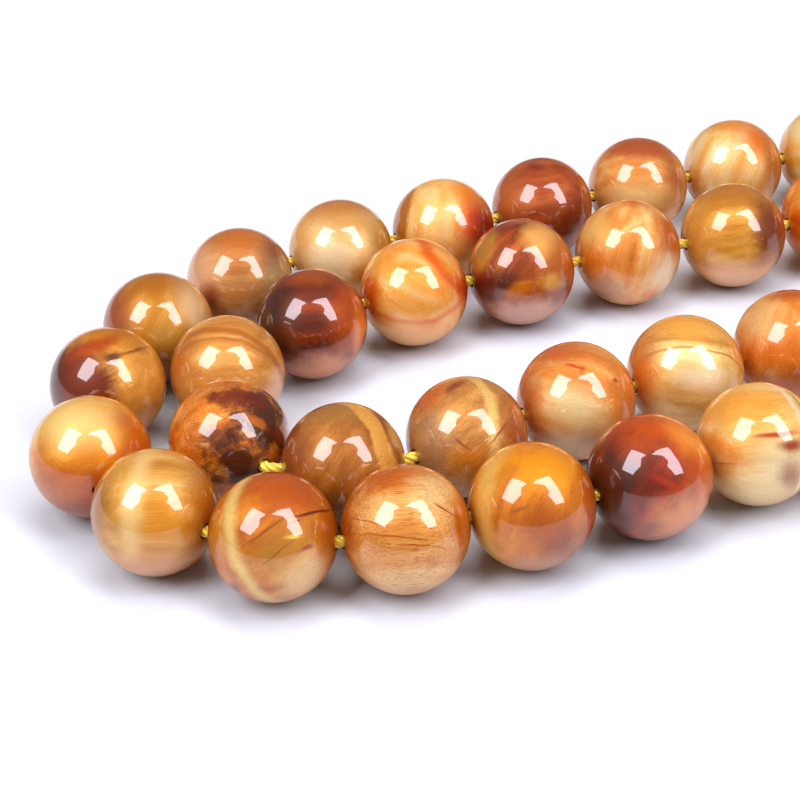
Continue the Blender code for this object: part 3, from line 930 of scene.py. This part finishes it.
# %% [markdown]
# ## The table and the light
# The photo has a plain white table that fills the whole picture, and two soft lamps high on the
# left and on the right. Both show in every bead as a bright window with a rounded bite, so each
# lamp is a sheet of that outline. An outline point on a bead was mirrored there to find the
# direction that its light comes from. A wide light overhead stands for the bright ceiling. It
# doesn't show in the gloss, because the photo has no third window.

# %% The table and the light
TABLE_HALF = 3.0
TABLE_WHITE = "#CACACE"
TABLE_ROUGH = 0.6
LAMP_DISTANCE = 0.8
LAMP_LIGHT = 10.0
LAMP_WHITE = "#EEF2FF"
ROOM_LIGHT = 0.2
FILL_WATTS = 1.65
FILL_SIZE = 0.3
FILL_PLACE = (0.0, 0.1, 0.5)
# Outlines of the two windows as they show on bead 26, x right and y up, in bead radii
WINDOWS = {
    "left_lamp": [(-0.306, 0.455), (-0.09, 0.364), (-0.173, 0.314), (-0.187, 0.195),
                  (-0.313, 0.058), (-0.474, 0.139), (-0.418, 0.279)],
    "right_lamp": [(-0.005, 0.37), (0.072, 0.426), (0.262, 0.468), (0.339, 0.349),
                   (0.472, 0.076), (0.346, 0.048), (0.227, 0.181), (0.241, 0.265),
                   (0.171, 0.342)],
}


def lamp_points(outline):
    """The outline mirrored in a ball: twice the normal times its depth, less the way to the eye."""
    normals = np.array([facing(x, y) for x, y in outline])
    away = 2.0 * normals[:, 2:] * normals - np.array([0.0, 0.0, 1.0])
    return nearest_bead + LAMP_DISTANCE * away @ np.array(camera_turn).T


def staged(name, points, faces, material):
    """A mesh that isn't part of the strand: the table or a lamp."""
    mesh = bpy.data.meshes.new(name)
    mesh.from_pydata([tuple(point) for point in points], [], faces)
    mesh.materials.append(material)
    made = bpy.data.objects.new(name, mesh)
    bpy.context.scene.collection.objects.link(made)
    return made


for name, outline in WINDOWS.items():
    glow, tree, shader = new_material(name + "_light", {"Base Color": (0.0, 0.0, 0.0, 1.0)})
    shader.inputs["Emission Color"].default_value = linear(LAMP_WHITE)
    shader.inputs["Emission Strength"].default_value = LAMP_LIGHT
    points = lamp_points(outline)
    staged(name, points, [list(range(len(points)))], glow)

paper, tree, shader = new_material("white_table", {"Roughness": TABLE_ROUGH})
shader.inputs["Base Color"].default_value = linear(TABLE_WHITE)
corners = [(-TABLE_HALF, -TABLE_HALF, 0.0), (TABLE_HALF, -TABLE_HALF, 0.0),
           (TABLE_HALF, TABLE_HALF, 0.0), (-TABLE_HALF, TABLE_HALF, 0.0)]
staged("white_table", corners, [[0, 1, 2, 3]], paper)

fill = bpy.data.lights.new("ceiling_fill", "AREA")
fill.size, fill.energy = FILL_SIZE, FILL_WATTS
ceiling = bpy.data.objects.new("ceiling_fill", fill)
ceiling.location = FILL_PLACE
ceiling.rotation_euler = (-Vector(FILL_PLACE)).to_track_quat("-Z", "Y").to_euler()
ceiling.visible_glossy = False
bpy.context.scene.collection.objects.link(ceiling)

room = bpy.data.worlds.new("studio")
room.use_nodes = True
room.node_tree.nodes["Background"].inputs["Color"].default_value = (1.0, 1.0, 1.0, 1.0)
room.node_tree.nodes["Background"].inputs["Strength"].default_value = ROOM_LIGHT
bpy.context.scene.world = room
bpy.context.scene.view_settings.view_transform = "Standard"
print("lamps:", len(WINDOWS), "and a fill of", FILL_WATTS, "W")
